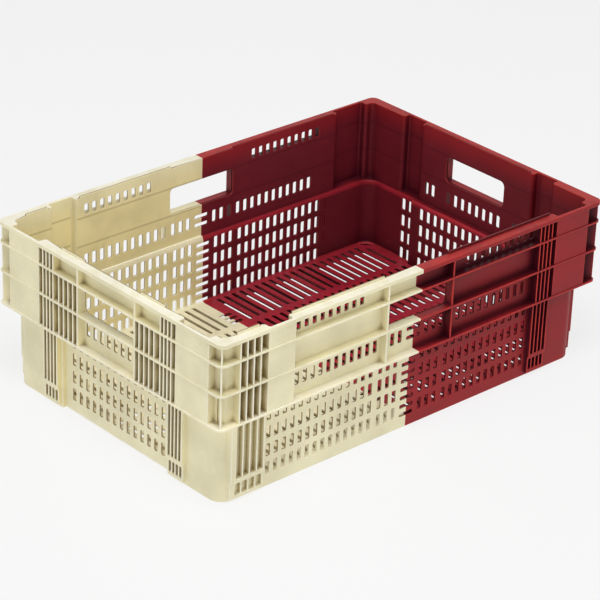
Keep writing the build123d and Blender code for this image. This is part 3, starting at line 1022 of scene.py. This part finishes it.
# %% Flow, grain and scuffs
CLOUDS = (16, 4)
GRAIN = (1400, 2)
PATCHES = (45, 3)
STREAKS = (1, 3)
STREAK_STRETCH = (30, 30, 700)
CLOUDY = (0.3, 0.7)
GRAINY = (0.25, 0.75)
SCUFF_STREAKS = (0.6, 0.72)
SCUFF_PATCHES = (0.5, 0.66)
SCUFF = 0.22
DEEP_CLOUD, PALE_CLOUD = (0.90, 0.89, 0.86, 1), (1.06, 1.06, 1.05, 1)
DEEP_GRAIN, PALE_GRAIN = (0.94, 0.94, 0.94, 1), (1.05, 1.05, 1.05, 1)

clouds = noise(moulded, where, *CLOUDS)
grain = noise(moulded, where, *GRAIN)
patches = noise(moulded, where, *PATCHES)
drawn = add_node(moulded, "Mapping", {"Vector": where, "Scale": STREAK_STRETCH}).outputs["Vector"]
streaks = ranged(moulded, noise(moulded, drawn, *STREAKS), *SCUFF_STREAKS)
scuffs = times(moulded, streaks, ranged(moulded, patches, *SCUFF_PATCHES))
cloud_tone = blend(moulded, ranged(moulded, clouds, *CLOUDY), DEEP_CLOUD, PALE_CLOUD)
colour = blend(moulded, 1.0, colour, cloud_tone, "MULTIPLY")
grain_tone = blend(moulded, ranged(moulded, grain, *GRAINY), DEEP_GRAIN, PALE_GRAIN)
colour = blend(moulded, 1.0, colour, grain_tone, "MULTIPLY")
colour = blend(moulded, times(moulded, scuffs, SCUFF), colour, given["Rubbed And Highlit"])
print("nodes with the patterns:", len(moulded.nodes))

# %% [markdown]
# The rounded edges rub pale, and so do the rim and the ledge, where crates seat on each other. Their pale
# tone is partly wear and partly painted highlight, where they would catch the light. An edge is found by its
# small bulk, which each material measures. The same patches of noise that place the scuffs break the pale
# tone up, because an even pale line would look painted on.

# %% Rubbed edges and seats, partly painted highlight
EDGE_BULK = (0.55, 0.92)
PATCHY = (0.3, 0.6)
EDGE_SHARE = (0.45, 1.0)
SEAT_SHARE = (0.35, 1.0)
RIM_LOW, RIM_HIGH = rim_top - 3, rim_top - 1
RUB_AND_HIGHLIGHT = 0.75

# pale tone on edges, rim and ledge: partly wear, partly painted highlight
edges = ranged(moulded, given["Bulk"], *EDGE_BULK, 1.0, 0.0)
rubbed_and_highlit = times(moulded, edges, ranged(moulded, patches, *PATCHY, *EDGE_SHARE))
rim = height_step(moulded, height, RIM_LOW, RIM_HIGH)
seat_rub_and_highlight = times(moulded, upward, larger(moulded, rim, level_line(moulded, height, waist_low)))
seat_rub_and_highlight = times(moulded, seat_rub_and_highlight, ranged(moulded, patches, *PATCHY, *SEAT_SHARE))
rubbed_and_highlit = larger(moulded, rubbed_and_highlit, times(moulded, seat_rub_and_highlight, given["Seat Wear And Highlight"]))
colour = blend(moulded, times(moulded, rubbed_and_highlit, RUB_AND_HIGHLIGHT), colour, given["Rubbed And Highlit"])
print("nodes with the rubbing:", len(moulded.nodes))

# %% [markdown]
# Between the ribs and inside the slots little light arrives, so the hollows and the sides of the slots are
# painted with a darker, warmer shade than the open faces. The up-facing floor is kept out of most of that
# painted shade. The sheen is a plain satin, a little duller on the scuffs. These layers end the group, and
# feed its outputs.

# %% Painted shade in the hollows and slots, and sheen
SLOT_SHADE = 0.85
FLOOR_LIGHT = 0.9
GROUND_LOW, GROUND_HIGH = floor_top + 2, floor_top + 6
SATIN = (0.40, 0.50)
SCUFF_ROUGHNESS = 0.15

slot_side = add_node(moulded, "Attribute", attribute_name="slot_side").outputs["Fac"]
colour = blend(moulded, times(moulded, slot_side, SLOT_SHADE), colour, given["Painted Shade"])
# painted shade in the hollows from the openness, with the up-facing floor mostly kept out
lit = ranged(moulded, given["Openness"], given["Shut"], given["Open"])
ground = times(moulded, upward, height_step(moulded, height, GROUND_LOW, GROUND_HIGH, 1.0, 0.0))
lit = larger(moulded, lit, times(moulded, ground, FLOOR_LIGHT))
colour = blend(moulded, lit, given["Painted Shade"], colour)
satin = ranged(moulded, clouds, *CLOUDY, *SATIN)
roughness = calculate(moulded, "ADD", satin, times(moulded, scuffs, SCUFF_ROUGHNESS))
moulded.links.new(colour, result["Color"])
moulded.links.new(roughness, result["Roughness"])
moulded.links.new(grain, result["Height"])
print(moulded.name, "has", len(moulded.nodes), "nodes")

# %% [markdown]
# A material measures its own skin for the group. One ambient-occlusion node tells how open a point is, and
# another, turned inwards, how much plastic lies behind it. Both could be kept in the mesh as attributes, but
# a node follows the surface more finely. The shader stays outside the group, so that an exporter finds it.

# %% Satin plastic
OCCLUSION = {"only_local": True, "samples": 16}
EDGE_DEPTH = 1.8
GRAIN_STRENGTH = 0.12
GRAIN_HEIGHT = 0.2


def plastic(name, gloss, depth, amounts, tones):
    """Satin moulded plastic with its tones, and the depth of hollow over which its painted shade comes."""
    material = bpy.data.materials.new(name)
    material.use_nodes = True
    tree = material.node_tree
    shader = tree.nodes["Principled BSDF"]
    # openness places the painted shade in the hollows
    openness = add_node(tree, "AmbientOcclusion", {"Distance": depth * MM}, **OCCLUSION)
    bulk = add_node(tree, "AmbientOcclusion", {"Distance": EDGE_DEPTH * MM}, inside=True, **OCCLUSION)
    skin = tree.nodes.new("ShaderNodeGroup")
    skin.node_tree = moulded
    for tone, colour in tones.items():
        skin.inputs[tone].default_value = (*colour, 1)
    for amount, value in amounts.items():
        skin.inputs[amount].default_value = value
    tree.links.new(openness.outputs["AO"], skin.inputs["Openness"])
    tree.links.new(bulk.outputs["AO"], skin.inputs["Bulk"])
    ins = {"Height": skin.outputs["Height"], "Strength": GRAIN_STRENGTH, "Distance": GRAIN_HEIGHT * MM}
    relief = add_node(tree, "Bump", ins)
    tree.links.new(skin.outputs["Color"], shader.inputs["Base Color"])
    tree.links.new(skin.outputs["Roughness"], shader.inputs["Roughness"])
    tree.links.new(relief.outputs["Normal"], shader.inputs["Normal"])
    shader.inputs["Specular IOR Level"].default_value = gloss
    return material


print("edges are looked for within", EDGE_DEPTH, "mm of the skin")

# %% [markdown]
# The pigments are the colours of the open faces, and the rubbed tones, partly wear and partly painted
# highlight, are those of the pale rims in the photograph. The painted shade in the hollows of the cream comes
# over a short depth and that of the red over a longer one. The photograph could be laid over the mesh
# instead, but its shadows would then stay in the colours.

# %% Cream and red
cream_plastic = plastic(
    "cream_plastic",
    gloss=0.4,
    depth=14,
    amounts={"Seat Wear And Highlight": 0.8, "Shut": 0.1, "Open": 0.6},
    tones={
        "Pigment": (0.825, 0.765, 0.515),
        "Painted Inner Shade": (0.86, 0.755, 0.415),
        "Painted Top Light": (0.95, 0.885, 0.63),
        "Rubbed And Highlit": (0.97, 0.94, 0.84),
        "Painted Shade": (0.28, 0.19, 0.055),
    },
)
red_plastic = plastic(
    "red_plastic",
    gloss=0.2,
    depth=30,
    amounts={"Seat Wear And Highlight": 0.42, "Shut": 0.45, "Open": 1.0},
    tones={
        "Pigment": (0.285, 0.012, 0.0155),
        "Painted Inner Shade": (0.16, 0.013, 0.023),
        "Painted Top Light": (0.38, 0.019, 0.037),
        "Rubbed And Highlit": (0.70, 0.045, 0.024),
        "Painted Shade": (0.055, 0.003, 0.008),
    },
)
print("materials", cream_plastic.name, "and", red_plastic.name)

# %% [markdown]
# Each skin now takes its material and stands for all the zones of its half, whose solids are hidden. The
# real crate is two pieces, so there are two skins, although the frame knows more zones.

# %% Dress the two mouldings
def dress(skin, half, material):
    """Gives a skin its finish and lets it stand for its zones."""
    skin.data.materials.clear()
    skin.data.materials.append(material)
    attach(skin, "root")
    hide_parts(*sorted(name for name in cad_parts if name.startswith(half + "_")))
    print(skin.name, "stands for the zones of the", half, "half")


dress(cream, "cream", cream_plastic)
dress(red, "red", red_plastic)

# %% [markdown]
# The photograph was taken in a light tent: a bright table and pale sides light the outside of the crate
# almost evenly, and less light falls into it from above. So the table glows a little, standing in for the
# light of the tent. Under the crate its glow is turned down, a painted shadow of the crate, but the camera
# still sees it white through the slots, as in the photograph.

# %% Table
TABLE = 0.8
TABLE_GREY = 0.15
TABLE_ROUGHNESS = 0.9
TABLE_HALF = 20
UNDER_CRATE = 0.4
FOOT_SHADE = 12.0

bm = bmesh.new()
bmesh.ops.create_grid(bm, x_segments=1, y_segments=1, size=TABLE_HALF)
studio_floor = made("studio_floor", bm)
pale = bpy.data.materials.new("pale_floor")
pale.use_nodes = True
tree = pale.node_tree
shader = tree.nodes["Principled BSDF"]
shader.inputs["Base Color"].default_value = (TABLE_GREY, TABLE_GREY, TABLE_GREY, 1)
shader.inputs["Roughness"].default_value = TABLE_ROUGHNESS
shader.inputs["Specular IOR Level"].default_value = 0.0
shader.inputs["Emission Color"].default_value = (1, 1, 1, 1)
spot = add_node(tree, "TexCoord").outputs["Object"]
spot = add_node(tree, "VectorMath", {0: spot}, operation="ABSOLUTE").outputs[0]
from_middle = add_node(tree, "SeparateXYZ", {"Vector": spot}).outputs
beyond = []
# painted shadow: the glow is turned down under the crate
for axis, foot in (("X", half_length - end_in), ("Y", half_width - tub_in)):
    beyond.append(ranged(tree, from_middle[axis], (foot - FOOT_SHADE) * MM, foot * MM, UNDER_CRATE))
glowing = larger(tree, *beyond)
glowing = larger(tree, glowing, add_node(tree, "LightPath").outputs["Is Camera Ray"])
tree.links.new(times(tree, glowing, TABLE), shader.inputs["Emission Strength"])
studio_floor.data.materials.append(pale)
print(studio_floor.name, "glows with", TABLE)

# %% [markdown]
# The world is brighter at the horizon than overhead, as the tent was, and one soft lamp above picks out
# the rims and ledges. Three separate lamps could do the same, but they would leave several shadows on the
# table. The camera and reflections see an even, pale backdrop instead of the tent.

# %% Lamp and tent
BACKDROP = 0.9
HORIZON = 1.52
ZENITH = 0.28
TENT_RISE = (0.08, 0.45)
LAMP_SIZE = 0.9
LAMP_WATTS = 22
LAMP_AT = Vector((-0.5, -0.5, 1.85))
LAMP_AIM = Vector((0, 0, 0.1))

lamp = bpy.data.lights.new("overhead", "AREA")
lamp.shape = "RECTANGLE"
lamp.size = LAMP_SIZE
lamp.size_y = LAMP_SIZE
lamp.energy = LAMP_WATTS
overhead = add_object("overhead", lamp)
toward = (LAMP_AT - LAMP_AIM).to_track_quat("Z", "Y")
overhead.matrix_world = Matrix.Translation(LAMP_AT) @ toward.to_matrix().to_4x4()

world = bpy.data.worlds.new("studio")
bpy.context.scene.world = world
world.use_nodes = True
sky = world.node_tree
direction = add_node(sky, "TexCoord").outputs["Generated"]
slope = add_node(sky, "SeparateXYZ", {"Vector": direction}).outputs["Z"]
tent = ranged(sky, slope, *TENT_RISE, HORIZON, ZENITH)
rays = add_node(sky, "LightPath").outputs
glossy = larger(sky, rays["Is Camera Ray"], rays["Is Glossy Ray"])
seen = larger(sky, glossy, rays["Is Transmission Ray"])
backdrop = add_node(sky, "Mix", {"Factor": seen, "A": tent, "B": BACKDROP}).outputs["Result"]
sky.links.new(backdrop, sky.nodes["Background"].inputs["Strength"])
sky.nodes["Background"].inputs["Color"].default_value = (1, 1, 1, 1)
print("lit by a table of", TABLE, "and a tent from", HORIZON, "down to", ZENITH)

# %% [markdown]
# The camera stands where the photographer stood: in front of the cream corner, a little above the crate
# and far off, with a long lens and a slight roll. Its distance and lens come from matching the rims and
# corners of the crate to the photograph. A constraint could aim it too, but three axes show the roll.

# %% Camera
IMAGE_SIZE = 600
FOCAL_PIXELS = 2744.6
SENSOR = 36
AZIMUTH, ELEVATION, ROLL = (math.radians(a) for a in (-43.0, 27.07, -2.18))
TARGET = Vector((-13.8, -12.0, 100.0)) * MM
DISTANCE = 3259.6 * MM

level = math.cos(ELEVATION)
back = Vector((math.sin(AZIMUTH) * level, -math.cos(AZIMUTH) * level, math.sin(ELEVATION)))
right = Vector((0, 0, 1)).cross(back).normalized()
up = back.cross(right)
turned_right = math.cos(ROLL) * right - math.sin(ROLL) * up
turned_up = math.sin(ROLL) * right + math.cos(ROLL) * up
axes = Matrix((turned_right, turned_up, back)).transposed().to_4x4()
lens = bpy.data.cameras.new("camera")
lens.sensor_width = SENSOR
lens.lens = FOCAL_PIXELS / IMAGE_SIZE * lens.sensor_width
camera = add_object("camera", lens)
camera.matrix_world = Matrix.Translation(TARGET + back * DISTANCE) @ axes
bpy.context.scene.camera = camera
bpy.context.scene.view_settings.view_transform = "Standard"
print("lens of", round(lens.lens, 1), "mm at", round(DISTANCE, 2), "m")
